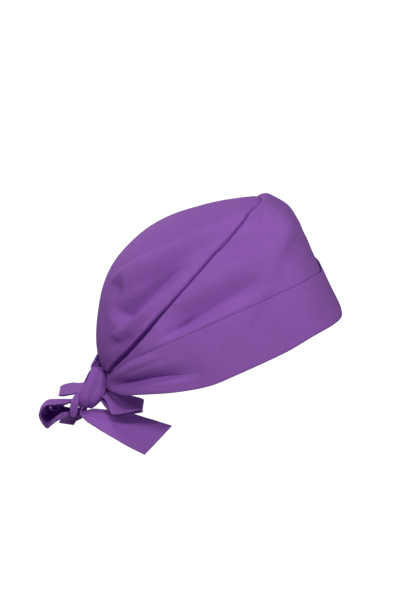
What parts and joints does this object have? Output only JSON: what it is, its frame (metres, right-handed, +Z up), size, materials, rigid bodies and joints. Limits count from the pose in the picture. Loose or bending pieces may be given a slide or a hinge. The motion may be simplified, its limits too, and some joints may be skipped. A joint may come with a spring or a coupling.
{
  "type": "scrub cap",
  "caption": "Soft cloth scrub cap with a gathered crown, a curved front panel, a turned-up cuff and ties knotted in a bow at the back",
  "frame": {"origin": "Middle of the head opening, on the mid-plane of the cap, level with the rim there", "axes": "+X is the wearer's front, +Y the wearer's left, +Z up with the head upright; the cap keeps its worn tilt, with the rim higher at the front"},
  "size_m": [0.2725, 0.1632, 0.2289],
  "materials": {
    "crown_cloth": "matt purple woven cloth",
    "panel_cloth": "matt purple woven cloth",
    "cuff_cloth": "matt purple woven cloth",
    "tie_cloth": "matt purple woven cloth, hemmed"
  },
  "bodies": {
    "root": {"front_panel": "panel_cloth", "cuff": "cuff_cloth", "crown": "crown_cloth", "left_tie": "tie_cloth", "knot": "tie_cloth", "small_wrap": "tie_cloth", "front_loop": "tie_cloth", "front_tail": "tie_cloth", "upper_loop": "tie_cloth", "lower_loop": "tie_cloth", "back_tail": "tie_cloth"}
  },
  "joints": []
}
